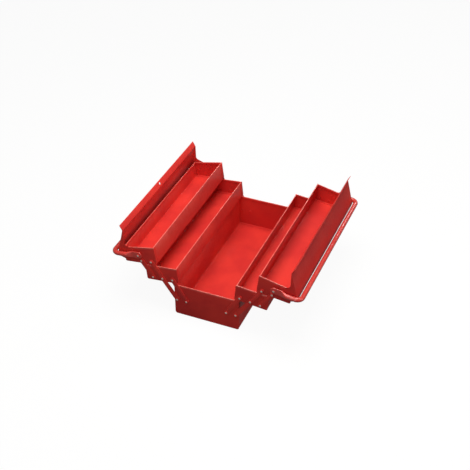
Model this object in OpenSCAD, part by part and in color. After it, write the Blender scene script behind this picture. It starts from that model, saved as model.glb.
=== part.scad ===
// Five-compartment steel cantilever tool box, drawn standing open.
// X runs across the box, Y along its length and Z up. The origin is on the
// floor under the middle of the base. Each side folds up over the base: its
// trays hang on flat steel arms, and the places of all moving pieces are
// worked out here from the folded-up layout and the opening angle.

/* [Box] */
// Length of the base and of all trays
box_length = 486; // [400:1:600]
// Width of the base, and of the whole box when it is shut
box_width = 200; // [190:1:230]
// Height of the base up to its rim
base_height = 106; // [95:1:130]
// Height of the lower trays
lower_tray_height = 51; // [44:1:64]
// Height of the upper trays at the middle of the shut box
upper_tray_inner_height = 59; // [54:1:70]
// Height of the upper trays at their outer wall
upper_tray_outer_height = 49; // [46:1:53]
// Space left between one tier and the next when the box is shut
tier_gap = 1; // [0.6:0.1:2]
// Space from the middle plane to each tray when the box is shut
centre_gap = 0.6; // [0.4:0.1:1.5]

/* [Sheet metal] */
// Thickness of all sheet steel
sheet = 1; // [0.8:0.1:1.3]
// Width of the folded-over rims
rim_width = 2.6; // [2.4:0.1:3.4]
// Depth of the folded-over rims
rim_depth = 7; // [5:0.5:9]
// Outer bend radius along the bottom of the base
base_bend = 5; // [2:0.5:7]
// Outer bend radius along the bottom of the trays
tray_bend = 2.4; // [1.8:0.1:4]
// How far the end panels lap over the long walls
wall_lap = 13; // [8:1:20]
// How far they lap over the floor
floor_lap = 9; // [6:1:14]

/* [Arms] */
// Angle of the long arms from upright when the box stands open
open_angle = 34.5; // [25:0.5:36]
// Width of every arm
arm_width = 14; // [11:1:16]
// Thickness of every arm
arm_thickness = 2; // [1.5:0.1:3]
// Height of the arm pivots on the base
base_pivot_height = 54; // [48:1:60]
// Distance of the long-arm pivot from the base's side
base_long_inset = 9; // [8.5:0.5:12]
// Distance of the short-arm pivot from the base's side
base_short_inset = 38; // [35:1:42]
// Height of the arm pivots above the floor of the lower tray
lower_pivot_height = 12; // [10:0.5:14]
// Distance of the short-arm pivot from the inner side of the lower tray
lower_short_inset = 16.5; // [14:0.5:19]
// Distance of the long-arm pivot from the inner side of the lower tray
lower_long_inset = 48; // [46:0.5:50]
// Distance of the upper short-arm pivot from the inner side of the lower tray
lower_outer_inset = 78; // [75:0.5:82]
// Height of the arm pivots above the floor of the upper tray
upper_pivot_height = 10; // [9:0.5:12]
// Distance of the short-arm pivot from the inner side of the upper tray
upper_short_inset = 46; // [43:0.5:49]

/* [Rivets] */
// Diameter of all rivet shanks
rivet_diameter = 5; // [4:0.1:6]
// Diameter of the rivet heads
head_diameter = 9; // [8:0.1:10]
// Height of the rivet heads
head_height = 2.5; // [1.8:0.1:3]
// Radial clearance between a rivet and the piece that turns on it
running_clearance = 0.08; // [0.05:0.01:0.1]
// Radial play of the short arms at their upper ends
short_arm_play = 0.65; // [0.6:0.05:0.8]
// Space between pieces that slide past each other
side_clearance = 0.5; // [0.4:0.1:0.8]

/* [Lids] */
// How far each lid has swung open
lid_angle = 64; // [0:1:64]
// Distance of the lid pivot from the outer side of the upper tray
lid_pivot_inset = 12.4; // [11:0.1:14]
// Height of the lid pivot above the floor of the upper tray
lid_pivot_height = 22; // [20:0.5:24]
// Space between the shut lid and the rim below it
lid_gap = 2; // [1.8:0.1:3]
// Space between the shut lid and the outer side of the tray
skirt_gap = 1.6; // [1.4:0.1:2.4]
// Width of the sloping strip along the middle of the shut lids
ridge_width = 12; // [9:0.5:15]
// Rise of that strip
ridge_rise = 13; // [9:0.5:15]
// Diameter of the padlock hole in the strip
padlock_hole = 7; // [5:0.5:8]
// Bend radius along the outer edge of the lid
eave_bend = 7; // [3:0.5:7]
// Depth of the lid's outer skirt below the rim of the tray
skirt_depth = 11; // [8:0.5:14]
// Depth of the lid's end lugs below the pivot
lug_depth = 9; // [7:0.5:11]
// Space between a swinging end lug and the shoulder of the handle pivot
lug_clearance = 0.8; // [0.6:0.1:2]
// Angle of the end lugs' free edge to the lid's own slope
lug_sweep = 14.5; // [10:0.5:16]

/* [Handles] */
// Diameter of the handle tube
tube_diameter = 14; // [12:0.5:14]
// Wall of the handle tube
tube_wall = 1.5; // [1:0.1:2]
// Distance of the handle pivot from the lid pivot, towards the middle
handle_pivot_run = 37; // [35:0.5:40]
// Height of the handle pivot above the lid pivot
handle_pivot_rise = 9; // [8:0.5:11]
// Space between the grip and the edge of the lid where they pass closest
grip_clearance = 0.9; // [0.6:0.1:4]
// Angle of the handle above the floor of its tray
handle_angle = 2; // [0:0.5:118]
// Bend radius at the corners of the handle, to the middle of the tube
handle_bend = 17; // [14:1:18]
// Width of the flattened ends
eye_width = 20; // [17:0.5:22]
// Length over which the tube is flattened
flat_length = 16; // [14:1:20]
// Length over which the flattened end grows back into the tube
taper_length = 24; // [18:1:28]
// Space between the lid's end lugs and the handle
handle_clearance = 1.2; // [1:0.1:1.5]

/* [Hidden] */

LEFT = -1;
RIGHT = 1;
NEAR = -1;
FAR = 1;

paint = [0.80, 0.10, 0.10];
zinc = [0.82, 0.80, 0.80];

$fn = 48;
bend_steps = 6;
seam = 0.3;
fixed_fit = 0.05;

rivet_r = rivet_diameter / 2;
head_r = head_diameter / 2;
head_rim = 0.7;
tail_r = head_r - 0.5;
tail_height = 1.6;
shoulder_r = rivet_r + 1.5;
tube_r = tube_diameter / 2;
eye_thickness = 2 * tube_wall;

// --- Layers outwards from the end panels ---
end_y = box_length / 2;
arm_y = end_y + side_clearance;
arm_top_y = arm_y + arm_thickness;
lug_y = arm_top_y + side_clearance;
lug_top_y = lug_y + sheet;
handle_y = lug_top_y + handle_clearance;
tube_y = handle_y + tube_r;

// --- Upper trays, lids and handles in the frame of the upper tray ---
tray_width = box_width / 2 - centre_gap;
rim_slope = atan2(upper_tray_inner_height - upper_tray_outer_height, tray_width);
lid_pivot = [tray_width - lid_pivot_inset, lid_pivot_height];
handle_pivot = lid_pivot + [-handle_pivot_run, handle_pivot_rise];
pivot_spacing = norm(handle_pivot - lid_pivot);

// --- Arm pivots with the box shut, as [x, z] on the right-hand side ---
lower_shut = [centre_gap, base_height + tier_gap];
upper_shut = lower_shut + [0, lower_tray_height + tier_gap];
base_long = [box_width / 2 - base_long_inset, base_pivot_height];
base_short = [box_width / 2 - base_short_inset, base_pivot_height];
lower_long = [lower_long_inset, lower_pivot_height];
lower_short = [lower_short_inset, lower_pivot_height];
lower_outer = [lower_outer_inset, lower_pivot_height];
upper_short = [upper_short_inset, upper_pivot_height];
long_line = lower_shut + lower_long - base_long;
long_top_rise = upper_shut[1] + upper_pivot_height - base_long[1];
upper_long = base_long + long_line * (long_top_rise / long_line[1]) - upper_shut;

// --- Arm lengths between pivots ---
long_to_lower = norm(long_line);
long_to_upper = norm(upper_shut + upper_long - base_long);
lower_arm_length = norm(lower_shut + lower_short - base_short);
upper_arm_length = norm(upper_shut + upper_short - lower_shut - lower_outer);

// --- The same pivots with the box open ---
arm_direction = [sin(open_angle), cos(open_angle)];
long_mid_open = base_long + long_to_lower * arm_direction;
long_top_open = base_long + long_to_upper * arm_direction;
lower_short_open = meet(base_short, lower_arm_length, long_mid_open, norm(lower_long - lower_short), LEFT);
lower_tilt = tilt_of(long_mid_open - lower_short_open);
lower_open = long_mid_open - turned(lower_long, lower_tilt);
lower_outer_open = lower_open + turned(lower_outer, lower_tilt);
upper_short_open = meet(lower_outer_open, upper_arm_length, long_top_open, norm(upper_short - upper_long), RIGHT);
upper_tilt = tilt_of(upper_short_open - long_top_open);
upper_open = long_top_open - turned(upper_long, upper_tilt);

// A vector in a tray's frame, given in the frame of the box
function turned(v, tilt) = [v[0] * cos(tilt) + v[1] * sin(tilt), v[1] * cos(tilt) - v[0] * sin(tilt)];

// How far a tray's floor dips outwards, from a vector along it
function tilt_of(v) = -atan2(v[1], v[0]);

// The point at distance ra from a and rb from b, on one side of the way from a to b
function meet(a, ra, b, rb, side) =
  let (
    d = norm(b - a),
    along = (ra * ra - rb * rb + d * d) / (2 * d),
    off = sqrt(ra * ra - along * along),
    u = (b - a) / d
  )
  a + along * u + side * off * [u[1], -u[0]];

function unit(v) = v / norm(v);

// Points of the arc that rounds corner b between a and c
function fillet(a, b, c, r) =
  let (
    u = unit(a - b),
    w = unit(c - b),
    half = acos(u * w) / 2,
    middle = b + unit(u + w) * r / sin(half),
    p = b + u * r / tan(half) - middle,
    q = b + w * r / tan(half) - middle,
    start = atan2(p[1], p[0]),
    turn = atan2(q[1], q[0]) - start,
    sweep = turn > 180 ? turn - 360 : turn < -180 ? turn + 360 : turn
  )
  [for (i = [0 : bend_steps]) middle + r * [cos(start + sweep * i / bend_steps), sin(start + sweep * i / bend_steps)]];

// A closed outline from corners [x, z, radius]
function rounded(corners) =
  let (n = len(corners))
  [
    for (i = [0 : n - 1])
      let (
        a = corners[(i + n - 1) % n],
        b = corners[i],
        c = corners[(i + 1) % n]
      )
      each b[2] > 0
        ? fillet([a[0], a[1]], [b[0], b[1]], [c[0], c[1]], b[2])
        : [[b[0], b[1]]]
  ];

// Height at x of the line that leaves p at angle a
function at_x(p, a, x) = p[1] + (x - p[0]) * tan(a);

// --- Shared shapes ---

// Extrudes an [x, z] outline along Y
module along_y(from, to) {
  translate([0, to, 0]) rotate([90, 0, 0]) linear_extrude(height = to - from) children();
}

// A round bar or hole along Y at an [x, z] place
module bar_y(place, r, from, to) {
  translate([place[0], to, place[1]]) rotate([90, 0, 0]) cylinder(r = r, h = to - from);
}

// Puts a right-hand piece on the left or right side of the box
module on_side(side) {
  mirror([side == LEFT ? 1 : 0, 0, 0]) children();
}

// Puts a far-end piece on the near or far end of the box
module on_end(end) {
  mirror([0, end == NEAR ? 1 : 0, 0]) children();
}

module in_lower_tray() {
  translate([lower_open[0], 0, lower_open[1]]) rotate([0, lower_tilt, 0]) children();
}

module in_upper_tray() {
  translate([upper_open[0], 0, upper_open[1]]) rotate([0, upper_tilt, 0]) children();
}

// Floor and two long walls with folded-over rims, bent from one sheet
module trough(width, inner_height, outer_height, bend) {
  near_x = sheet;
  far_x = width - sheet;
  outline = rounded([
    [near_x, 0, bend],
    [far_x, 0, bend],
    [far_x, outer_height, rim_width / 2 - 0.01],
    [far_x - rim_width, outer_height, rim_width / 2 - 0.01],
    [far_x - rim_width, outer_height - rim_depth, 0],
    [far_x - sheet, outer_height - rim_depth, 0],
    [far_x - sheet, sheet, bend - sheet],
    [near_x + sheet, sheet, bend - sheet],
    [near_x + sheet, inner_height - rim_depth, 0],
    [near_x + rim_width, inner_height - rim_depth, 0],
    [near_x + rim_width, inner_height, rim_width / 2 - 0.01],
    [near_x, inner_height, rim_width / 2 - 0.01]
  ]);
  difference() {
    along_y(-end_y + sheet, end_y - sheet) polygon(outline);
    for (end = [NEAR, FAR]) on_end(end) rim_notches(width, inner_height, outer_height);
  }
}

// Room at the corners for the rims of the end panels
module rim_notches(width, inner_height, outer_height) {
  notch_y = end_y - rim_width - seam;
  notch_x = sheet + rim_width + seam;
  notch_depth = rim_depth + seam + notch_x * tan(rim_slope);
  for (corner = [[0, inner_height], [width - notch_x, outer_height]])
    translate([corner[0] - seam, notch_y, corner[1] - notch_depth])
      cube([notch_x + 2 * seam, end_y, 2 * notch_depth]);
}

// End panel with a folded-over rim, laps over both long walls and one over the floor
module end_panel(width, inner_height, outer_height, bend, holes) {
  slope = atan2(inner_height - outer_height, width);
  plate = rounded([
    [0, 0, bend + sheet],
    [width, 0, bend + sheet],
    [width, outer_height - rim_depth / 2, 0],
    [0, inner_height - rim_depth / 2, 0]
  ]);
  wall_y = end_y - wall_lap;
  wall_length = wall_lap - sheet / 2;
  lap_z = bend + 2 * sheet;
  difference() {
    union() {
      along_y(end_y - sheet, end_y) polygon(plate);
      panel_rim(width, inner_height, outer_height, slope);
      translate([0, wall_y, lap_z]) cube([sheet, wall_length, inner_height - rim_width - lap_z]);
      translate([width - sheet, wall_y, lap_z]) cube([sheet, wall_length, outer_height - rim_width - lap_z]);
      translate([lap_z, end_y - floor_lap, sheet]) cube([width - 2 * lap_z, floor_lap - sheet / 2, sheet]);
    }
    for (hole = holes) bar_y(hole, rivet_r + fixed_fit, end_y - rim_width, end_y + sheet);
  }
}

// The rim along the top of an end panel, level or sloping
module panel_rim(width, inner_height, outer_height, slope) {
  section = rounded([
    [0, -rim_depth, 0],
    [rim_width, -rim_depth, 0],
    [rim_width, 0, rim_width / 2 - 0.01],
    [0, 0, rim_width / 2 - 0.01]
  ]);
  intersection() {
    translate([0, end_y, inner_height])
      rotate([0, slope, 0])
        rotate([90, 0, -90])
          translate([0, 0, -width - rim_depth])
            linear_extrude(height = width + 2 * rim_depth) polygon(section);
    translate([0, end_y - 2 * rim_width, 0]) cube([width, 4 * rim_width, 2 * inner_height]);
  }
}

// A domed head that stands on the XY plane
module dome(r, height, rim) {
  cap = height - rim;
  ball_r = (r * r + cap * cap) / (2 * cap);
  cylinder(r = r, h = rim);
  intersection() {
    translate([0, 0, height - ball_r]) sphere(r = ball_r);
    translate([0, 0, rim]) cylinder(r = r, h = cap);
  }
}

// A rivet through an end panel, with its head over what turns on it
module rivet(place, grip_y) {
  translate([place[0], 0, place[1]]) rotate([-90, 0, 0]) {
    translate([0, 0, end_y - sheet - tail_height]) cylinder(r = rivet_r, h = grip_y - end_y + sheet + tail_height);
    translate([0, 0, end_y - sheet]) rotate([180, 0, 0]) dome(tail_r, tail_height, head_rim);
    translate([0, 0, grip_y]) dome(head_r, head_height, head_rim);
  }
}

// The same with a shoulder that holds the turning piece off the panel
module shoulder_rivet(place, shoulder_y, grip_y) {
  rivet(place, grip_y);
  bar_y(place, shoulder_r, end_y, shoulder_y);
}

// A flat arm with round ends from one pivot to another, with holes [distance, radius] along it
module arm(from, to, holes) {
  run = to - from;
  reach = norm(run);
  translate([from[0], 0, from[1]])
    rotate([0, -atan2(run[1], run[0]), 0])
      difference() {
        union() {
          for (x = [0, reach]) bar_y([x, 0], arm_width / 2, arm_y, arm_top_y);
          translate([0, arm_y, -arm_width / 2]) cube([reach, arm_thickness, arm_width]);
        }
        for (hole = holes) bar_y([hole[0], 0], hole[1], arm_y - seam, arm_top_y + seam);
      }
}

// --- Base ---

module base_trough() {
  color(paint) translate([-box_width / 2, 0, 0]) trough(box_width, base_height, base_height, base_bend);
}

module base_panel(end) {
  half = box_width / 2;
  holes = [for (side = [LEFT, RIGHT], pivot = [base_long, base_short]) [half + side * pivot[0], pivot[1]]];
  color(paint) on_end(end) translate([-half, 0, 0]) end_panel(box_width, base_height, base_height, base_bend, holes);
}

module base_rivets() {
  color(zinc)
    for (side = [LEFT, RIGHT], end = [NEAR, FAR], pivot = [base_long, base_short])
      on_side(side) on_end(end) rivet(pivot, arm_top_y + fixed_fit);
}

// --- Lower trays ---

module lower_trough(side) {
  color(paint) on_side(side) in_lower_tray() trough(tray_width, lower_tray_height, lower_tray_height, tray_bend);
}

module lower_panel(side, end) {
  color(paint)
    on_side(side)
      in_lower_tray()
        on_end(end)
          end_panel(
            tray_width,
            lower_tray_height,
            lower_tray_height,
            tray_bend,
            [lower_short, lower_long, lower_outer]
          );
}

module lower_rivets(side) {
  color(zinc)
    for (end = [NEAR, FAR], pivot = [lower_short, lower_long, lower_outer])
      on_side(side) in_lower_tray() on_end(end) rivet(pivot, arm_top_y + fixed_fit);
}

// --- Upper trays ---

module upper_trough(side) {
  color(paint)
    on_side(side)
      in_upper_tray()
        trough(tray_width, upper_tray_inner_height, upper_tray_outer_height, tray_bend);
}

module upper_panel(side, end) {
  color(paint)
    on_side(side)
      in_upper_tray()
        on_end(end)
          end_panel(
            tray_width,
            upper_tray_inner_height,
            upper_tray_outer_height,
            tray_bend,
            [upper_long, upper_short, lid_pivot, handle_pivot]
          );
}

module upper_rivets(side) {
  color(zinc)
    for (end = [NEAR, FAR], pivot = [upper_long, upper_short])
      on_side(side) in_upper_tray() on_end(end) rivet(pivot, arm_top_y + fixed_fit);
}

// --- Arms ---

turning_hole = rivet_r + running_clearance;
loose_hole = rivet_r + short_arm_play;

module long_arm(side, end) {
  holes = [[0, turning_hole], [long_to_lower, turning_hole], [long_to_upper, turning_hole]];
  color(paint) on_side(side) on_end(end) arm(base_long, long_top_open, holes);
}

module lower_arm(side, end) {
  holes = [[0, turning_hole], [lower_arm_length, loose_hole]];
  color(paint) on_side(side) on_end(end) arm(base_short, lower_short_open, holes);
}

module upper_arm(side, end) {
  holes = [[0, turning_hole], [upper_arm_length, loose_hole]];
  color(paint) on_side(side) on_end(end) arm(lower_outer_open, upper_short_open, holes);
}

// --- Lids, drawn shut and swung about their pivots ---

roof_rise = sheet / cos(rim_slope);
roof_top = [0, upper_tray_inner_height + lid_gap + roof_rise];
skirt_x = tray_width + skirt_gap + sheet;
skirt_z = upper_tray_outer_height - skirt_depth;
fold_x = ridge_width;
lug_room = shoulder_r + lug_clearance;
lug_reach = min(handle_pivot_run - lug_room, sqrt(pow(pivot_spacing - lug_room, 2) - pow(lug_depth, 2)));

// Top of the lid's slope at x
function roof_z(x) = at_x(roof_top, -rim_slope, x);

module on_lid_pivot() {
  translate([lid_pivot[0], 0, lid_pivot[1]])
    rotate([0, lid_angle, 0])
      translate([-lid_pivot[0], 0, -lid_pivot[1]])
        children();
}

module lid_panel(side) {
  ridge_angle = atan2(ridge_rise, ridge_width);
  ridge_drop = sheet / cos(ridge_angle);
  fold = [fold_x, roof_z(fold_x)];
  under_fold_x = fold_x - (ridge_drop - roof_rise) / (tan(ridge_angle) - tan(rim_slope));
  outline = rounded([
    [0, fold[1] + ridge_rise, 0],
    [fold[0], fold[1], 2],
    [skirt_x, roof_z(skirt_x), eave_bend],
    [skirt_x, skirt_z, 0],
    [skirt_x - sheet, skirt_z, 0],
    [skirt_x - sheet, roof_z(skirt_x - sheet) - roof_rise, eave_bend - sheet],
    [under_fold_x, roof_z(under_fold_x) - roof_rise, 2],
    [0, fold[1] + ridge_rise - ridge_drop, 0]
  ]);
  hole_x = ridge_width / 2;
  hole_z = fold[1] + ridge_rise / 2;
  color(paint)
    on_side(side)
      in_upper_tray()
        on_lid_pivot()
          difference() {
            along_y(-lug_y, lug_y) polygon(outline);
            translate([hole_x, 0, hole_z])
              rotate([0, ridge_angle, 0])
                translate([0, 0, -4 * sheet]) cylinder(r = padlock_hole / 2, h = 8 * sheet);
          }
}

module lid_lug(side, end) {
  inner_x = lid_pivot[0] - lug_reach;
  bottom_z = lid_pivot[1] - lug_depth;
  free_start = [fold_x, roof_z(fold_x) - roof_rise];
  free_z = at_x(free_start, -rim_slope - lug_sweep, inner_x);
  outer_x = skirt_x - sheet;
  outline = rounded([
    [fold_x, roof_z(fold_x), 0],
    [skirt_x, roof_z(skirt_x), eave_bend],
    [skirt_x, skirt_z, 0],
    [outer_x, skirt_z, 0],
    [outer_x, bottom_z, 5],
    [inner_x, bottom_z, 3],
    [inner_x, free_z, 10],
    [free_start[0], free_start[1], 0]
  ]);
  color(paint)
    on_side(side)
      in_upper_tray()
        on_lid_pivot()
          on_end(end)
            difference() {
              along_y(lug_y, lug_top_y) polygon(outline);
              bar_y(lid_pivot, turning_hole, lug_y - seam, lug_top_y + seam);
            }
}

module lid_pivots(side) {
  color(zinc)
    for (end = [NEAR, FAR])
      on_side(side)
        in_upper_tray()
          on_end(end)
            shoulder_rivet(lid_pivot, lug_y - fixed_fit, lug_top_y + fixed_fit);
}

// --- Handles, long enough for the grips to pass the outer edges of the lids ---

eave_reach = norm([skirt_x, roof_z(skirt_x)] - lid_pivot);
handle_reach = pivot_spacing + eave_reach + grip_clearance + tube_r;

// One leg and half the grip, solid out to a given radius
module handle_leg(r) {
  corner_x = handle_reach - handle_bend;
  corner_y = tube_y - handle_bend;
  taper_end = flat_length + taper_length;
  translate([taper_end, tube_y, 0]) rotate([0, 90, 0]) cylinder(r = r, h = corner_x - taper_end);
  translate([corner_x, corner_y, 0]) rotate_extrude(angle = 90) translate([handle_bend, 0]) circle(r = r);
  translate([handle_reach, -seam, 0]) rotate([-90, 0, 0]) cylinder(r = r, h = corner_y + seam);
}

// Where the flattened end grows into the tube, inset by the thickness of its wall
module handle_taper(inset) {
  mouth = flat_length + inset;
  taper_end = flat_length + taper_length;
  hull() {
    translate([mouth, handle_y + inset - fixed_fit, inset - eye_width / 2])
      cube([seam, eye_thickness - 2 * inset + 2 * fixed_fit, eye_width - 2 * inset]);
    translate([taper_end, tube_y, 0]) rotate([0, 90, 0]) cylinder(r = tube_r - inset, h = seam, $fn = 32);
  }
}

module handle_outer() {
  bar_y([0, 0], eye_width / 2, handle_y, handle_y + eye_thickness);
  translate([0, handle_y, -eye_width / 2]) cube([flat_length + seam, eye_thickness, eye_width]);
  handle_taper(0);
  handle_leg(tube_r);
}

module handle(side) {
  color(paint)
    on_side(side)
      in_upper_tray()
        translate([handle_pivot[0], 0, handle_pivot[1]])
          rotate([0, -handle_angle, 0])
            difference() {
              for (end = [NEAR, FAR]) on_end(end) handle_outer();
              for (end = [NEAR, FAR])
                on_end(end) {
                  handle_taper(tube_wall);
                  handle_leg(tube_r - tube_wall);
                  bar_y([0, 0], turning_hole, handle_y - seam, handle_y + eye_thickness + seam);
                }
            }
}

module handle_pivots(side) {
  color(zinc)
    for (end = [NEAR, FAR])
      on_side(side)
        in_upper_tray()
          on_end(end)
            shoulder_rivet(handle_pivot, handle_y - fixed_fit, handle_y + eye_thickness + fixed_fit);
}

// --- The assembly ---

base_trough();
base_panel(NEAR);  // base_near_panel
base_panel(FAR);  // base_far_panel
base_rivets();
lower_trough(LEFT);  // left_lower_trough
lower_panel(LEFT, NEAR);  // left_lower_near_panel
lower_panel(LEFT, FAR);  // left_lower_far_panel
lower_rivets(LEFT);  // left_lower_rivets
lower_trough(RIGHT);  // right_lower_trough
lower_panel(RIGHT, NEAR);  // right_lower_near_panel
lower_panel(RIGHT, FAR);  // right_lower_far_panel
lower_rivets(RIGHT);  // right_lower_rivets
upper_trough(LEFT);  // left_upper_trough
upper_panel(LEFT, NEAR);  // left_upper_near_panel
upper_panel(LEFT, FAR);  // left_upper_far_panel
upper_rivets(LEFT);  // left_upper_rivets
upper_trough(RIGHT);  // right_upper_trough
upper_panel(RIGHT, NEAR);  // right_upper_near_panel
upper_panel(RIGHT, FAR);  // right_upper_far_panel
upper_rivets(RIGHT);  // right_upper_rivets
long_arm(LEFT, NEAR);  // left_near_long_arm
long_arm(LEFT, FAR);  // left_far_long_arm
long_arm(RIGHT, NEAR);  // right_near_long_arm
long_arm(RIGHT, FAR);  // right_far_long_arm
lower_arm(LEFT, NEAR);  // left_near_lower_arm
lower_arm(LEFT, FAR);  // left_far_lower_arm
lower_arm(RIGHT, NEAR);  // right_near_lower_arm
lower_arm(RIGHT, FAR);  // right_far_lower_arm
upper_arm(LEFT, NEAR);  // left_near_upper_arm
upper_arm(LEFT, FAR);  // left_far_upper_arm
upper_arm(RIGHT, NEAR);  // right_near_upper_arm
upper_arm(RIGHT, FAR);  // right_far_upper_arm
lid_panel(LEFT);  // left_lid_panel
lid_lug(LEFT, NEAR);  // left_lid_near_lug
lid_lug(LEFT, FAR);  // left_lid_far_lug
lid_pivots(LEFT);  // left_lid_pivots
lid_panel(RIGHT);  // right_lid_panel
lid_lug(RIGHT, NEAR);  // right_lid_near_lug
lid_lug(RIGHT, FAR);  // right_lid_far_lug
lid_pivots(RIGHT);  // right_lid_pivots
handle(LEFT);  // left_handle
handle_pivots(LEFT);  // left_handle_pivots
handle(RIGHT);  // right_handle
handle_pivots(RIGHT);  // right_handle_pivots
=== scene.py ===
"""Looks of a steel cantilever tool box that stands open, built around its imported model.

Every piece is drawn in millimetres in the frame of the part that carries it, a
tray, a lid or the base, and is then placed in the shared frame in metres.
"""

import logging
import math
from dataclasses import dataclass, field, replace
from enum import Enum
from typing import Callable, Iterable, Iterator, Sequence

import bmesh
import bpy
from mathutils import Matrix, Vector


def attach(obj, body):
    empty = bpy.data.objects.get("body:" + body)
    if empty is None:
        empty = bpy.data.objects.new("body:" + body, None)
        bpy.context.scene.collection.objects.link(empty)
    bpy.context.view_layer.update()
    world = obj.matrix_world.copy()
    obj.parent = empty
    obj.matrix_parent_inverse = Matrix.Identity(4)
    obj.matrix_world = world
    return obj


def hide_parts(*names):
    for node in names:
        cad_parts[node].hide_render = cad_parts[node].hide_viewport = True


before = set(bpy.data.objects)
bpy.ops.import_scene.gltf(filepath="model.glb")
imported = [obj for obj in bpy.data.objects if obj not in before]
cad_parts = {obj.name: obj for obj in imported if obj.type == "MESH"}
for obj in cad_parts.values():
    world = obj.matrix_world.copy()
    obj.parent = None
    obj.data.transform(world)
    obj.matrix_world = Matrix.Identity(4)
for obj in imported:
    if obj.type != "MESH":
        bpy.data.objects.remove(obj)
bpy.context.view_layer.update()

log = logging.getLogger("tool_box")

# Metres in a millimetre
MM = 0.001
# Millimetres by which a rounding or a test stays clear of an edge
SLIVER = 0.01
Point2 = tuple[float, float]
Point3 = tuple[float, float, float]
Socket = bpy.types.NodeSocket
Material = bpy.types.Material
ScuffAndHighlight = Callable[[Vector], float]


class Named(Enum):
    """A choice that the nodes and bodies spell by its name."""

    @property
    def word(self) -> str:
        """The name as the nodes and bodies spell it."""
        return self.name.lower()


class Side(Named):
    """The side of the box on which a tray hangs."""

    LEFT = -1
    RIGHT = 1


class End(Named):
    """The end of the box, near the viewer or far away."""

    NEAR = -1
    FAR = 1


class Tier(Named):
    """The height at which a tray hangs."""

    LOWER = 0
    UPPER = 1


class Slot(Enum):
    """The record's material slots."""

    ENAMEL = "red_enamel"
    STEEL = "rivet_steel"


# --- Plane geometry ---


def turned(v: Vector, tilt: float) -> Vector:
    """Turns an [x, z] vector from a tray's frame, which dips outwards by a tilt, to the box's."""
    c, s = math.cos(tilt), math.sin(tilt)
    return Vector((v.x * c + v.y * s, v.y * c - v.x * s))


def tilt_of(v: Vector) -> float:
    """How far a tray's floor dips outwards, from a vector along it."""
    return -math.atan2(v.y, v.x)


def meeting_point(a: Vector, ra: float, b: Vector, rb: float, side: Side) -> Vector:
    """The point at given distances from two others.

    Args:
        a: First centre.
        ra: Distance from the first centre.
        b: Second centre.
        rb: Distance from the second centre.
        side: The side of the way from a to b.

    Returns:
        The point where the two circles meet.
    """
    d = (b - a).length
    along = (ra * ra - rb * rb + d * d) / (2 * d)
    off = math.sqrt(ra * ra - along * along)
    u = (b - a) / d
    return a + along * u + side.value * off * Vector((u.y, -u.x))


def arc(centre: Point2, radius: float, start: float, sweep: float, steps: int) -> list[Point2]:
    """Points along an arc of so many chords, from a first angle on and over a sweep, in radians."""
    angles = [start + sweep * k / steps for k in range(steps + 1)]
    return [(centre[0] + radius * math.cos(a), centre[1] + radius * math.sin(a)) for a in angles]


def rounded(corners: Sequence[Sequence[float]], steps: int = 8) -> list[Point2]:
    """A closed outline whose corners are rounded.

    Args:
        corners: Corners as [x, z, radius] in order.
        steps: Number of chords in each rounded corner.

    Returns:
        The outline's points.
    """
    points: list[Point2] = []
    for i, (bx, bz, radius) in enumerate(corners):
        if radius <= 0:
            points.append((bx, bz))
            continue
        a, b = Vector(corners[i - 1][:2]), Vector((bx, bz))
        c = Vector(corners[(i + 1) % len(corners)][:2])
        u, w = (a - b).normalized(), (c - b).normalized()
        half = math.acos(max(-1.0, min(1.0, u.dot(w)))) / 2
        middle = b + (u + w).normalized() * radius / math.sin(half)
        reach = radius / math.tan(half)
        p, q = b + u * reach - middle, b + w * reach - middle
        start = math.atan2(p.y, p.x)
        sweep = (math.atan2(q.y, q.x) - start + math.pi) % (2 * math.pi) - math.pi
        points += arc(tuple(middle), radius, start, sweep, steps)
    return points


def spread(low: float, high: float, count: int) -> list[float]:
    """Evenly spaced places from one value to another, two at least."""
    last = max(2, count) - 1
    return [low + (high - low) * k / last for k in range(last + 1)]


# --- Sizes, in millimetres ---


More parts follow.
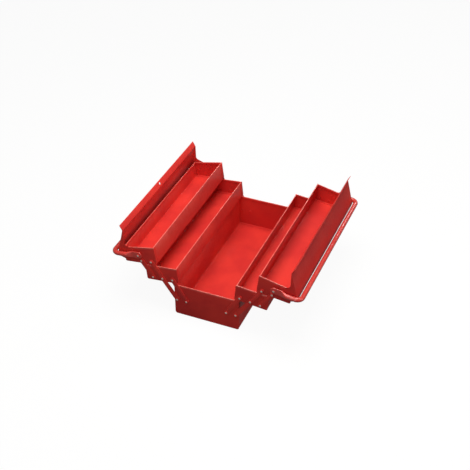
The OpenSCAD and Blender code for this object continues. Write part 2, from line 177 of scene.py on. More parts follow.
@dataclass(frozen=True)
class BoxSizes:
    """The sizes of the whole box."""

    length: float = 486.0
    width: float = 200.0
    base_height: float = 106.0
    lower_height: float = 51.0
    upper_inner_height: float = 59.0
    upper_outer_height: float = 49.0
    tier_gap: float = 1.0
    centre_gap: float = 0.6
    sheet: float = 1.0
    cut_edge: float = 0.3
    rim_width: float = 2.6
    rim_depth: float = 7.0
    rim_space: float = 0.3
    rim_foot: float = 1.0
    base_bend: float = 5.0
    tray_bend: float = 2.4
    wall_lap: float = 13.0
    floor_lap: float = 9.0
    lap_corner: float = 2.0
    panel_edge: float = 0.7
    open_angle: float = 34.5
    arm_width: float = 14.0
    arm_thickness: float = 2.0
    arm_edge: float = 0.4
    base_pivot_height: float = 54.0
    base_long_inset: float = 9.0
    base_short_inset: float = 38.0
    lower_pivot_height: float = 12.0
    lower_short_inset: float = 16.5
    lower_long_inset: float = 48.0
    lower_outer_inset: float = 78.0
    upper_pivot_height: float = 10.0
    upper_short_inset: float = 46.0
    rivet_radius: float = 2.5
    head_radius: float = 4.5
    head_height: float = 2.5
    head_fit: float = 0.05
    tail_radius: float = 4.0
    tail_height: float = 1.6
    shoulder_radius: float = 4.0
    side_clearance: float = 0.5
    lid_angle: float = 64.0
    lid_pivot_inset: float = 12.4
    lid_pivot_height: float = 22.0
    lid_gap: float = 2.0
    lid_fold: float = 2.0
    skirt_gap: float = 1.6
    ridge_width: float = 12.0
    ridge_rise: float = 13.0
    padlock_hole: float = 7.0
    eave_bend: float = 7.0
    skirt_depth: float = 11.0
    lug_depth: float = 9.0
    lug_clearance: float = 0.8
    lug_sweep: float = 14.5
    lug_heel: float = 5.0
    lug_toe: float = 3.0
    lug_brow: float = 10.0
    lug_edge: float = 0.35
    tube_radius: float = 7.0
    handle_pivot_run: float = 37.0
    handle_pivot_rise: float = 9.0
    grip_clearance: float = 0.9
    handle_angle: float = 2.0
    handle_bend: float = 17.0
    eye_width: float = 20.0
    eye_thickness: float = 3.0
    flat_length: float = 16.0
    taper_length: float = 24.0
    handle_clearance: float = 1.2

    @property
    def end_y(self) -> float:
        """Half the length of the box, out to the end panels."""
        return self.length / 2

    @property
    def arm_y(self) -> float:
        """Inner side of the layer in which the arms move."""
        return self.end_y + self.side_clearance

    @property
    def lug_y(self) -> float:
        """Inner side of the layer in which the lids' lugs move."""
        return self.arm_y + self.arm_thickness + self.side_clearance

    @property
    def handle_y(self) -> float:
        """Inner side of the handles."""
        return self.lug_y + self.sheet + self.handle_clearance

    @property
    def tray_width(self) -> float:
        """Width of every hanging tray."""
        return self.width / 2 - self.centre_gap

    @property
    def fold_bend(self) -> float:
        """Outer rounding of a folded rim, just under half its width."""
        return self.rim_width / 2 - SLIVER

    @property
    def slot_bend(self) -> float:
        """Rounding inside a folded rim."""
        return self.fold_bend - self.sheet

    @property
    def rim_slope(self) -> float:
        """Slope of the upper trays' end rims, in radians."""
        return math.atan2(self.upper_inner_height - self.upper_outer_height, self.tray_width)

    @property
    def ridge_slope(self) -> float:
        """Slope of the lids' raised strips, in radians."""
        return math.atan2(self.ridge_rise, self.ridge_width)

    @property
    def roof_thickness(self) -> float:
        """Upright thickness of the lids' sloping roofs."""
        return self.sheet / math.cos(self.rim_slope)

    @property
    def skirt_x(self) -> float:
        """Outer face of the lids' skirts, in the frame of the upper tray."""
        return self.tray_width + self.skirt_gap + self.sheet

    @property
    def skirt_z(self) -> float:
        """Lower edge of the lids' skirts."""
        return self.upper_outer_height - self.skirt_depth

    @property
    def lid_pivot(self) -> Vector:
        """The lid's pivot in the frame of the upper tray."""
        return Vector((self.tray_width - self.lid_pivot_inset, self.lid_pivot_height))

    @property
    def handle_pivot(self) -> Vector:
        """The handle's pivot in the frame of the upper tray."""
        return self.lid_pivot + Vector((-self.handle_pivot_run, self.handle_pivot_rise))

    def roof_z(self, x: float) -> float:
        """Height of the top of the shut lid at x, in the frame of the upper tray."""
        top = self.upper_inner_height + self.lid_gap + self.roof_thickness
        return top - x * math.tan(self.rim_slope)


@dataclass(frozen=True)
class Pivots:
    """The arm pivots and trays of the right-hand side as [x, z], with the box open."""

    base_long: Vector
    base_short: Vector
    long_top: Vector
    lower_short: Vector
    lower_outer: Vector
    upper_short: Vector
    upper_long_local: Vector
    lower_origin: Vector
    lower_tilt: float
    upper_origin: Vector
    upper_tilt: float

    @classmethod
    def opened(cls, sizes: BoxSizes) -> "Pivots":
        """Works the places out from the folded layout and the opening angle.

        Args:
            sizes: The box's sizes.

        Returns:
            The places.
        """
        s = sizes
        lower_shut = Vector((s.centre_gap, s.base_height + s.tier_gap))
        upper_shut = lower_shut + Vector((0, s.lower_height + s.tier_gap))
        base_long = Vector((s.width / 2 - s.base_long_inset, s.base_pivot_height))
        base_short = Vector((s.width / 2 - s.base_short_inset, s.base_pivot_height))
        lower_long = Vector((s.lower_long_inset, s.lower_pivot_height))
        lower_short = Vector((s.lower_short_inset, s.lower_pivot_height))
        lower_outer = Vector((s.lower_outer_inset, s.lower_pivot_height))
        upper_short = Vector((s.upper_short_inset, s.upper_pivot_height))
        line = lower_shut + lower_long - base_long
        rise = upper_shut.y + s.upper_pivot_height - base_long.y
        upper_long = base_long + line * (rise / line.y) - upper_shut
        angle = math.radians(s.open_angle)
        direction = Vector((math.sin(angle), math.cos(angle)))
        long_mid = base_long + line.length * direction
        long_top = base_long + (upper_shut + upper_long - base_long).length * direction
        short_open = meeting_point(
            base_short,
            (lower_shut + lower_short - base_short).length,
            long_mid,
            (lower_long - lower_short).length,
            Side.LEFT,
        )
        lower_tilt = tilt_of(long_mid - short_open)
        lower_origin = long_mid - turned(lower_long, lower_tilt)
        outer_open = lower_origin + turned(lower_outer, lower_tilt)
        upper_open = meeting_point(
            outer_open,
            (upper_shut + upper_short - lower_shut - lower_outer).length,
            long_top,
            (upper_short - upper_long).length,
            Side.RIGHT,
        )
        upper_tilt = tilt_of(upper_open - long_top)
        return cls(
            base_long=base_long,
            base_short=base_short,
            long_top=long_top,
            lower_short=short_open,
            lower_outer=outer_open,
            upper_short=upper_open,
            upper_long_local=upper_long,
            lower_origin=lower_origin,
            lower_tilt=lower_tilt,
            upper_origin=long_top - turned(upper_long, upper_tilt),
            upper_tilt=upper_tilt,
        )


@dataclass(frozen=True)
class Place:
    """Where a piece's own frame lies in the box, and on which side."""

    side: Side = Side.RIGHT
    origin: Point2 = (0.0, 0.0)
    tilt: float = 0.0
    lid_pivot: Point2 | None = None
    lid_angle: float = 0.0

    def matrix(self) -> Matrix:
        """Works out the move to the shared frame.

        Returns:
            The move from the piece's own frame in millimetres to the shared frame in metres.
        """
        out = Matrix.Scale(MM, 4)
        out @= Matrix.Diagonal((self.side.value, 1, 1, 1))
        out @= Matrix.Translation((self.origin[0], 0, self.origin[1]))
        out @= Matrix.Rotation(self.tilt, 4, "Y")
        if self.lid_pivot is not None:
            x, z = self.lid_pivot
            out @= Matrix.Translation((x, 0, z))
            out @= Matrix.Rotation(self.lid_angle, 4, "Y")
            out @= Matrix.Translation((-x, 0, -z))
        return out


# --- Finishes ---


@dataclass(frozen=True)
class Noise:
    """A cloudy pattern.

    It has its cycles a metre, the number of finer patterns that lie on it and their
    strength, and the stretch of its values between its two extremes.
    """

    per_metre: float
    detail: float
    rough: float = 0.5
    span: Point2 = (0.0, 1.0)


class NodeGraph:
    """A helper that adds and links the nodes of a tree.

    Wherever it takes a value for an input, it takes an output to link as well.
    """

    def __init__(self, tree: bpy.types.NodeTree) -> None:
        """Wraps a node tree."""
        self.tree = tree

    def give(self, node: bpy.types.Node, inputs: dict[str | int, object]) -> None:
        """Sets or links the inputs of a node.

        Args:
            node: The node.
            inputs: Its inputs by name or number.
        """
        for key, value in inputs.items():
            if isinstance(value, Socket):
                self.tree.links.new(value, node.inputs[key])
            else:
                node.inputs[key].default_value = value

    def add(
        self, kind: str, inputs: dict[str | int, object] | None = None, **settings: object
    ) -> bpy.types.Node:
        """Adds a node.

        Args:
            kind: The node's type.
            inputs: Its inputs by name or number.
            **settings: Its properties by name.

        Returns:
            The new node.
        """
        node = self.tree.nodes.new(kind)
        for key, value in settings.items():
            setattr(node, key, value)
        self.give(node, inputs or {})
        return node

    def math(self, operation: str, a: float | Socket, b: float | Socket = 0.0) -> Socket:
        """A sum on two numbers."""
        return self.add("ShaderNodeMath", {0: a, 1: b}, operation=operation).outputs[0]

    def noise(self, coords: Socket, noise: Noise) -> Socket:
        """A pattern over the given coordinates, in the noise's own values."""
        inputs = {"Scale": noise.per_metre, "Detail": noise.detail, "Roughness": noise.rough}
        return self.add("ShaderNodeTexNoise", {"Vector": coords, **inputs}).outputs["Fac"]

    def clouds(self, coords: Socket, noise: Noise, wanted: Point2 = (0.0, 1.0)) -> Socket:
        """A pattern over the given coordinates, with its extremes at the wanted values."""
        return self.ramp(self.noise(coords, noise), noise.span, wanted)

    def ramp(self, value: Socket, given: Point2, wanted: Point2) -> Socket:
        """Maps a range of a value to another range, smoothly and clamped.

        Args:
            value: The value.
            given: Its own range.
            wanted: The range that it gets.

        Returns:
            The mapped value.
        """
        names = ("From Min", "From Max", "To Min", "To Max")
        inputs = {"Value": value, **dict(zip(names, (*given, *wanted)))}
        node = self.add("ShaderNodeMapRange", inputs, interpolation_type="SMOOTHSTEP")
        return node.outputs["Result"]

    def mix(self, factor: Socket, a: Point3 | Socket, b: Point3 | Socket) -> Socket:
        """Mixes two colours."""
        a, b = (c if isinstance(c, Socket) else (*c, 1.0) for c in (a, b))
        return self.add("ShaderNodeMix", {0: factor, 6: a, 7: b}, data_type="RGBA").outputs[2]

    def blend(self, factor: Socket, a: Socket, b: Socket) -> Socket:
        """Mixes two shaders."""
        return self.add("ShaderNodeMixShader", {0: factor, 1: a, 2: b}).outputs[0]

    def bump(self, height: Socket, strength: float, depth: float) -> Socket:
        """The direction of a surface with a fine relief."""
        inputs = {"Height": height, "Strength": strength, "Distance": depth}
        return self.add("ShaderNodeBump", inputs).outputs["Normal"]


def new_material(name: str) -> tuple[Material, NodeGraph, bpy.types.Node]:
    """Starts a material.

    Args:
        name: Its name.

    Returns:
        The material, its graph and its main shader.
    """
    material = bpy.data.materials.new(name)
    material.use_nodes = True
    tree = material.node_tree
    return material, NodeGraph(tree), tree.nodes["Principled BSDF"]


def linear(red: int, green: int, blue: int) -> Point3:
    """A colour as linear values, by the sRGB curve.

    Args:
        red: Its red as shown on a screen, from 0 to 255.
        green: Its green.
        blue: Its blue.

    Returns:
        The colour.
    """
    out = []
    for part in (red, green, blue):
        c = part / 255
        out.append(c / 12.92 if c <= 0.04045 else ((c + 0.055) / 1.055) ** 2.4)
    return tuple(out)


@dataclass(frozen=True)
class RedEnamel:
    """Glossy red baked enamel with a fine orange peel, paler and glossier where a mask says: partly
    handling scuffs, partly a painted highlight along rims, edges and the handle tube.
    """

    name: str = "red_baked_enamel"
    colour: Point3 = linear(224, 60, 52)
    deep: Point3 = linear(209, 51, 48)
    # Pale pink that the mask mixes in: partly scuffed enamel, partly a painted highlight on rims, edges and
    # the handle.
    rubbed: Point3 = linear(247, 130, 118)
    rough: Point2 = (0.29, 0.44)
    gloss: float = 0.1
    coat: Point2 = (0.08, 1.0)
    coat_roughness: float = 0.14
    coat_rub: Point2 = (0.1, 0.5)
    clouds: Noise = Noise(per_metre=9.0, detail=3.0, span=(0.35, 0.65))
    scuffs: Noise = Noise(per_metre=140.0, detail=4.0, rough=0.65, span=(0.3, 0.75))
    patches: Noise = Noise(per_metre=60.0, detail=5.0, rough=0.7, span=(0.36, 0.64))
    patch_wear: Point2 = (0.45, 1.0)
    peel: Noise = Noise(per_metre=520.0, detail=2.0)
    peel_strength: float = 0.35
    peel_depth: float = 0.00003

    def build(self) -> Material:
        """Makes the material, paler and glossier where the mesh's mask is high: scuffed enamel in part, a
        painted highlight in part.

        Returns:
            The material.
        """
        material, graph, shader = new_material(self.name)
        coords = graph.add("ShaderNodeTexCoord").outputs["Object"]
        tone = graph.mix(graph.clouds(coords, self.clouds), self.deep, self.colour)
        edge = graph.add("ShaderNodeAttribute", attribute_name="rub").outputs["Fac"]
        patches = graph.clouds(coords, self.patches, self.patch_wear)
        # Share of the pale pink, broken up by patches: partly scuffing, partly a painted highlight.
        scuff_and_highlight_share = graph.math("MULTIPLY", graph.math("MULTIPLY", edge, edge), patches)
        inputs = {
            "Base Color": graph.mix(scuff_and_highlight_share, tone, self.rubbed),
            "Roughness": graph.clouds(coords, self.scuffs, self.rough),
            "Specular IOR Level": self.gloss,
            "Coat Weight": graph.ramp(edge, self.coat_rub, self.coat),
            "Coat Roughness": self.coat_roughness,
            "Normal": graph.bump(graph.noise(coords, self.peel), self.peel_strength, self.peel_depth),
        }
        graph.give(shader, inputs)
        return material


@dataclass(frozen=True)
class ZincPlate:
    """Bright zinc plate on the rivets' bare crowns, slightly clouded; its pale pinkish colour is also a
    painted glint.
    """

    name: str = "bright_zinc_plate"
    # Pale pinkish crown colour, brighter than plain zinc: a painted glint.
    colour: Point3 = linear(252, 232, 222)
    clouded: Point3 = linear(238, 208, 196)
    metallic: float = 0.35
    rough: Point2 = (0.18, 0.38)
    clouds: Noise = Noise(per_metre=700.0, detail=3.0, span=(0.35, 0.7))
    grain: Noise = Noise(per_metre=1500.0, detail=2.0)
    grain_strength: float = 0.3
    grain_depth: float = 0.00004

    def build(self) -> Material:
        """Makes the material.

        Returns:
            The material.
        """
        material, graph, shader = new_material(self.name)
        coords = graph.add("ShaderNodeTexCoord").outputs["Object"]
        cloud = graph.clouds(coords, self.clouds)
        grain = graph.noise(coords, self.grain)
        inputs = {
            "Base Color": graph.mix(cloud, self.colour, self.clouded),
            "Metallic": self.metallic,
            "Roughness": graph.ramp(cloud, (0.0, 1.0), self.rough),
            "Normal": graph.bump(grain, self.grain_strength, self.grain_depth),
        }
        graph.give(shader, inputs)
        return material


@dataclass
class Finishes:
    """The materials that the pieces share."""

    enamel: Material = field(default_factory=lambda: RedEnamel().build())
    zinc: Material = field(default_factory=lambda: ZincPlate().build())


# --- Meshes ---


def mesh_object(name: str, source: bmesh.types.BMesh | bpy.types.Mesh) -> bpy.types.Object:
    """An object in the scene.

    Args:
        name: The object's name.
        source: Its mesh, or an edit mesh that is copied into a new one.

    Returns:
        The new object.
    """
    mesh = source
    if isinstance(source, bmesh.types.BMesh):
        mesh = bpy.data.meshes.new(name)
        source.to_mesh(mesh)
    made = bpy.data.objects.new(name, mesh)
    bpy.context.scene.collection.objects.link(made)
    return made


def evaluated(holder: bpy.types.Object) -> bpy.types.Mesh:
    """The plain mesh of an object with its modifiers applied."""
    graph = bpy.context.evaluated_depsgraph_get()
    return bpy.data.meshes.new_from_object(holder.evaluated_get(graph))


def hang(piece: bpy.types.Object, body: str, slot: Slot, *nodes: str) -> None:
    """Puts a finished piece on its body and reports it.

    Args:
        piece: The finished piece.
        body: The body that it moves with.
        slot: The record's slot of its finish; not used.
        *nodes: The nodes that it stands for.
    """
    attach(piece, body)
    if nodes:
        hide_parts(*nodes)
    log.info("%s on %s, %d faces", piece.name, body, len(piece.data.polygons))


class Sheetwork:
    """Closed shells of one piece, drawn in millimetres in the piece's own frame."""

    edge_profile: float = 0.6
    hole_segments: int = 40

    def __init__(self, name: str) -> None:
        """Starts an empty piece.

        Args:
            name: The piece's name.
        """
        self.name = name
        self.bm = bmesh.new()
        # A per-vertex mask that pales the enamel: partly scuffing, partly a painted highlight along rims
        # and edges.
        self.rub = self.bm.verts.layers.float.new("rub")

    def loft(self, rings: Sequence[Sequence[Point3]], rub: ScuffAndHighlight | None = None) -> list[bmesh.types.BMFace]:
        """Joins closed rings of as many points each, and caps both ends.

        Args:
            rings: The rings in order, each a list of points.
            rub: How pale the enamel is at a point, from 0 to 1: partly scuffing, partly a painted
                highlight.

        Returns:
            The new faces, the two caps first.
        """
        rows = [[self.bm.verts.new(p) for p in ring] for ring in rings]
        if rub:
            for vert in (vert for row in rows for vert in row):
                vert[self.rub] = rub(vert.co)
        faces = [self.bm.faces.new(rows[0][::-1]), self.bm.faces.new(rows[-1])]
        count = len(rows[0])
        for a, b in zip(rows, rows[1:]):
            for i in range(count):
                j = (i + 1) % count
                faces.append(self.bm.faces.new((a[i], a[j], b[j], b[i])))
        return faces

    def prism(
        self, outline: Sequence[Point2], inner: float, outer: float, rub: ScuffAndHighlight | None = None
    ) -> list[bmesh.types.BMFace]:
        """Extrudes an [x, z] outline along Y, and gives the faces with the two caps first."""
        return self.loft([[(x, y, z) for x, z in outline] for y in (inner, outer)], rub)

    def soften(
        self,
        faces: Iterable[bmesh.types.BMFace],
        width: float,
        keep: Callable[[Vector], bool] = lambda co: True,
        segments: int = 2,
    ) -> None:
        """Rounds the edges round some faces.

        Args:
            faces: The faces whose edges are rounded.
            width: Width of the rounding.
            keep: Whether an edge's middle lies where it may be rounded.
            segments: Number of faces across the rounding.
        """
        edges = dict.fromkeys(e for f in faces for e in f.edges)
        bmesh.ops.bevel(
            self.bm,
            geom=[e for e in edges if keep((e.verts[0].co + e.verts[1].co) / 2)],
            offset=width,
            offset_type="OFFSET",
            segments=segments,
            profile=self.edge_profile,
            affect="EDGES",
            clamp_overlap=True,
        )

    def drill(self, centre: Point3, direction: Vector, radius: float, depth: float) -> None:
        """Drills a round hole through the piece.

        Args:
            centre: Middle of the hole.
            direction: Direction of its axis.
            radius: Its radius.
            depth: Length of the drill.
        """
        drill = bmesh.new()
        turn = direction.to_track_quat("Z", "Y").to_matrix().to_4x4()
        bmesh.ops.create_cone(
            drill,
            cap_ends=True,
            segments=self.hole_segments,
            radius1=radius,
            radius2=radius,
            depth=depth,
            matrix=Matrix.Translation(centre) @ turn,
        )
        held = [mesh_object("drilled", self.bm), mesh_object("drill", drill)]
        drill.free()
        cut = held[0].modifiers.new("hole", "BOOLEAN")
        cut.object = held[1]
        cut.operation = "DIFFERENCE"
        cut.solver = "EXACT"
        result = evaluated(held[0])
        self.bm.clear()
        self.bm.from_mesh(result)
        self.rub = self.bm.verts.layers.float.get("rub")
        bpy.data.meshes.remove(result)
        for spare in held:
            bpy.data.objects.remove(spare)

    def sort(self) -> None:
        """Sorts the mesh by place, since the order that rounding leaves differs between runs."""
        self.bm.normal_update()
        keys = (
            (self.bm.verts, lambda vert: (*vert.co, *vert.normal)),
            (self.bm.faces, lambda face: (sorted(tuple(v.co) for v in face.verts), *face.normal)),
        )
        for parts, key in keys:
            for rank, part in enumerate(sorted(parts, key=key)):
                part.index = rank
            parts.sort()

    def finish(self, place: Place, paint: Material, body: str, node: str, smooth: float = 32.0) -> None:
        """Shades the mesh, makes the painted object and hangs it in place of its node.

        Args:
            place: Where the piece's own frame lies.
            paint: The finish.
            body: The body that it moves with.
            node: The node that it stands for.
            smooth: Angle in degrees above which an edge is shaded sharp.
        """
        self.bm.transform(place.matrix())
        bmesh.ops.recalc_face_normals(self.bm, faces=self.bm.faces)
        self.sort()
        limit = math.radians(smooth)
        for face in self.bm.faces:
            face.smooth = True
        for edge in self.bm.edges:
            edge.smooth = len(edge.link_faces) == 2 and edge.calc_face_angle(0.0) < limit
        made = mesh_object(self.name, self.bm)
        self.bm.free()
        made.data.materials.append(paint)
        hang(made, body, Slot.ENAMEL, node)


# --- Sub-assemblies ---


@dataclass
class Bin:
    """A bin folded from sheet: a trough with hemmed walls and two end panels lapped over it.

    It serves for the base and for the hanging trays.
    """

    prefix: str
    body: str
    sizes: BoxSizes
    place: Place
    width: float
    inner_height: float
    outer_height: float
    bend: float
    # Depths and peak of the pale band along the rims' tops, partly scuffing and partly a painted highlight.
    near_wear: float = 2.6
    far_wear: float = 1.5
    full_wear: float = 1.2

    @property
    def slope(self) -> float:
        """Slope of the end rims, in radians."""
        return math.atan2(self.inner_height - self.outer_height, self.width)

    def rim_z(self, x: float) -> float:
        """Height of the end rims at x."""
        return self.inner_height - x * math.tan(self.slope)

    def rub(self, co: Vector) -> float:
        """How pale the enamel is at a point, most along the top of the rims: scuffing there, and a painted
        highlight on the rims.
        """
        deep = self.near_wear if co.y < 0 else self.far_wear
        return max(0.0, min(1.0, self.full_wear - (self.rim_z(co.x) - co.z) / deep))

    def trough_outline(self) -> list[Point2]:
        """Draws the trough's section, with a thin slot inside each folded rim.

        Returns:
            The section's points.
        """
        z = self.sizes
        s, rim, foot, fold, slot = z.sheet, z.rim_width, z.rim_depth, z.fold_bend, z.slot_bend
        near, far, hi, ho = s, self.width - s, self.inner_height, self.outer_height
        corners = [
            [near, 0, self.bend],
            [far, 0, self.bend],
            [far, ho, fold],
            [far - rim, ho, fold],
            [far - rim, ho - foot, z.cut_edge],
            [far - rim + s, ho - foot, z.cut_edge],
            [far - rim + s, ho - s, slot],
            [far - s, ho - s, slot],
            [far - s, s, self.bend - s],
            [near + s, s, self.bend - s],
            [near + s, hi - s, slot],
            [near + rim - s, hi - s, slot],
            [near + rim - s, hi - foot, z.cut_edge],
            [near + rim, hi - foot, z.cut_edge],
            [near + rim, hi, fold],
            [near, hi, fold],
        ]
        return rounded(corners, steps=6)

    def stub_outline(self) -> list[Point2]:
        """Draws the trough's section at its ends, where the walls make room for the end rims.

        Returns:
            The section's points.
        """
        z, s = self.sizes, self.sizes.sheet
        drop = z.rim_depth + z.rim_space + (s + z.rim_width + z.rim_space) * math.tan(self.slope)
        near, far = s, self.width - s
        corners = [
            [near, 0, self.bend],
            [far, 0, self.bend],
            [far, self.outer_height - drop, 0],
            [far - s, self.outer_height - drop, 0],
            [far - s, s, self.bend - s],
            [near + s, s, self.bend - s],
            [near + s, self.inner_height - drop, 0],
            [near, self.inner_height - drop, 0],
        ]
        return rounded(corners, steps=6)

    def make_trough(self, paint: Material) -> None:
        """Builds the trough.

        Args:
            paint: The finish.
        """
        z = self.sizes
        notch_y = z.end_y - z.rim_width - z.rim_space
        work = Sheetwork(f"{self.body}_trough")
        work.prism(self.trough_outline(), -notch_y, notch_y, self.rub)
        for end in End:
            work.prism(self.stub_outline(), end.value * notch_y, end.value * (z.end_y - z.sheet))
        work.finish(self.place, paint, self.body, f"{self.prefix}_trough")

    def make_panel(self, end: End, paint: Material) -> None:
        """Builds an end panel with its rim and laps.

        Args:
            end: The end of the box.
            paint: The finish.
        """
        z, w, e = self.sizes, self.width, end.value
        s, rim, face, bend = z.sheet, z.rim_width, z.end_y, z.lap_corner
        seam, low = z.rim_depth + z.rim_foot, self.bend + s
        work = Sheetwork(f"{self.body}_{end.word}_panel")
        plate = [[0, 0, low], [w, 0, low], [w, self.rim_z(w) - seam, 0], [0, self.rim_z(0) - seam, 0]]
        caps = work.prism(rounded(plate, steps=6), e * (face - s), e * face)

        def below(co: Vector) -> bool:
            """Whether an edge of the plate lies below its rim."""
            return co.z < self.rim_z(co.x) - seam - SLIVER

        work.soften(caps[1:2], z.panel_edge, below, segments=3)
        section = [
            [0, -seam, 0],
            [s, -seam, 0],
            [s, -s, z.slot_bend],
            [rim - s, -s, z.slot_bend],
            [rim - s, -z.rim_depth, z.cut_edge],
            [rim, -z.rim_depth, z.cut_edge],
            [rim, 0, z.fold_bend],
            [0, 0, z.fold_bend],
        ]
        fold = rounded(section, steps=6)
        rings = [[(x, e * (face - t), self.rim_z(x) + up) for t, up in fold] for x in (0.0, w)]
        work.loft(rings, self.rub)

        def free(co: Vector) -> bool:
            """Whether an edge of a lap lies away from the end panel."""
            return abs(co.y) < face - s - SLIVER

        low += s
        lap_y, end_y = face - z.wall_lap, face - s
        for x0, height in ((0.0, self.inner_height), (w - s, self.outer_height)):
            top = height - rim
            corners = [[lap_y, low, bend], [end_y, low, 0], [end_y, top, 0], [lap_y, top, bend]]
            lap = rounded(corners, steps=4)
            sheet = work.loft([[(x, e * y, up) for y, up in lap] for x in (x0, x0 + s)])
            work.soften(sheet[:2], z.cut_edge, free)
        lap_y, side = face - z.floor_lap, w - low
        corners = [[low, lap_y, bend], [side, lap_y, bend], [side, end_y, 0], [low, end_y, 0]]
        lap = rounded(corners, steps=4)
        sheet = work.loft([[(x, e * y, up) for x, y in lap] for up in (s, 2 * s)])
        work.soften(sheet[1:2], z.cut_edge, free)
        work.finish(self.place, paint, self.body, f"{self.prefix}_{end.word}_panel")

    def make(self, paint: Material) -> None:
        """Builds the whole bin.

        Args:
            paint: The finish.
        """
        self.make_trough(paint)
        for end in End:
            self.make_panel(end, paint)


@dataclass
class ArmSet:
    """The three flat arms at one end of one side."""

    sizes: BoxSizes
    pivots: Pivots
    side: Side
    end: End
    wear: float = 0.15
    wear_reach: float = 0.5
    end_steps: int = 18

    def make_arm(self, kind: str, start: Vector, finish: Vector, paint: Material) -> None:
        """Builds one arm.

        Args:
            kind: Long, lower or upper, as the nodes spell it.
            start: Its first pivot.
            finish: Its last pivot.
            paint: The finish.
        """
        z, e, side = self.sizes, self.end.value, self.side.word
        run = finish - start
        across = math.atan2(run.y, run.x) + math.pi / 2
        half = z.arm_width / 2
        outline = arc(tuple(start), half, across, math.pi, self.end_steps)
        outline += arc(tuple(finish), half, across - math.pi, math.pi, self.end_steps)

        def rub(co: Vector) -> float:
            """Enamel is scuffed where the arm turns against its rivets."""
            near = min((Vector((co.x, co.z)) - p).length for p in (start, finish))
            return self.wear if near < half + self.wear_reach else 0.0

        work = Sheetwork(f"{side}_{self.end.word}_{kind}_link")
        caps = work.prism(outline, e * z.arm_y, e * (z.arm_y + z.arm_thickness), rub)
        work.soften(caps[:2], z.arm_edge)
        node = f"{side}_{self.end.word}_{kind}_arm"
        work.finish(Place(self.side), paint, f"{side}_{kind}_arms", node)

    def make(self, paint: Material) -> None:
        """Builds the three arms.

        Args:
            paint: The finish.
        """
        p = self.pivots
        self.make_arm("long", p.base_long, p.long_top, paint)
        self.make_arm("lower", p.base_short, p.lower_short, paint)
        self.make_arm("upper", p.lower_outer, p.upper_short, paint)


@dataclass
class Lid:
    """A lid drawn shut in the frame of its tray: roof, rounded edge, skirt and raised strip."""

    sizes: BoxSizes
    side: Side
    place: Place
    # Pale bands along the strip's edge and the rounded edge: partly scuffing, partly a painted highlight.
    wear: float = 0.35
    strip_wear_width: float = 1.5
    eave_wear_width: float = 3.0
    eave_wear_depth: float = 4.0
    drill_length: float = 8.0

    def section(self) -> list[Point2]:
        """Draws the lid's section, over the roof to the skirt and back inside.

        Returns:
            The section's points.
        """
        z, s, x = self.sizes, self.sizes.sheet, self.sizes.skirt_x
        drop, thick = s / math.cos(z.ridge_slope), z.roof_thickness
        fold_z = z.roof_z(z.ridge_width)
        under = z.ridge_width - (drop - thick) / (math.tan(z.ridge_slope) - math.tan(z.rim_slope))
        corners = [
            [0, fold_z + z.ridge_rise, 0],
            [z.ridge_width, fold_z, z.lid_fold],
            [x, z.roof_z(x), z.eave_bend],
            [x, z.skirt_z, z.cut_edge],
            [x - s, z.skirt_z, z.cut_edge],
            [x - s, z.roof_z(x - s) - thick, z.eave_bend - s],
            [under, z.roof_z(under) - thick, z.lid_fold],
            [0, fold_z + z.ridge_rise - drop, 0],
        ]
        return rounded(corners)

    def rub(self, co: Vector) -> float:
        """How pale the enamel is along the strip's edge and the rounded edge: partly scuffing, partly a
        painted highlight.

        Args:
            co: A point of the panel.

        Returns:
            The share, from 0 to 1.
        """
        z = self.sizes
        outer = co.x > z.skirt_x - self.eave_wear_width
        eave = outer and co.z > z.upper_outer_height - self.eave_wear_depth
        return self.wear if eave or co.x < self.strip_wear_width else 0.0

    def make_panel(self, paint: Material) -> None:
        """Builds the panel with its padlock hole.

        Args:
            paint: The finish.
        """
        z, side = self.sizes, self.side.word
        work = Sheetwork(f"{side}_lid_cover")
        work.prism(self.section(), -z.lug_y, z.lug_y, self.rub)
        middle = (z.ridge_width / 2, 0.0, z.roof_z(z.ridge_width) + z.ridge_rise / 2)
        axis = Vector((math.sin(z.ridge_slope), 0, math.cos(z.ridge_slope)))
        work.drill(middle, axis, z.padlock_hole / 2, self.drill_length)
        work.finish(self.place, paint, f"{side}_lid", f"{side}_lid_panel")

    def make_lug(self, end: End, paint: Material) -> None:
        """Builds the end plate that turns on the tray.

        Args:
            end: The end of the box.
            paint: The finish.
        """
        z, e, side = self.sizes, end.value, self.side.word
        room = z.shoulder_radius + z.lug_clearance
        spacing = (z.handle_pivot - z.lid_pivot).length
        reach = min(z.handle_pivot_run - room, math.sqrt((spacing - room) ** 2 - z.lug_depth**2))
        inner_x, bottom = z.lid_pivot.x - reach, z.lid_pivot.y - z.lug_depth
        fold_x, skirt_x = z.ridge_width, z.skirt_x
        under_z = z.roof_z(fold_x) - z.roof_thickness
        free_z = under_z - (inner_x - fold_x) * math.tan(z.rim_slope + math.radians(z.lug_sweep))
        corners = [
            [fold_x, z.roof_z(fold_x), 0],
            [skirt_x, z.roof_z(skirt_x), z.eave_bend],
            [skirt_x, z.skirt_z, 0],
            [skirt_x - z.sheet, z.skirt_z, 0],
            [skirt_x - z.sheet, bottom, z.lug_heel],
            [inner_x, bottom, z.lug_toe],
            [inner_x, free_z, z.lug_brow],
            [fold_x, under_z, 0],
        ]
        work = Sheetwork(f"{side}_lid_{end.word}_ear")
        caps = work.prism(rounded(corners), e * z.lug_y, e * (z.lug_y + z.sheet))
        work.soften(caps[1:2], z.lug_edge)
        work.finish(self.place, paint, f"{side}_lid", f"{side}_lid_{end.word}_lug")

    def make(self, paint: Material) -> None:
        """Builds the panel and both lugs.

        Args:
            paint: The finish.
        """
        self.make_panel(paint)
        for end in End:
            self.make_lug(end, paint)


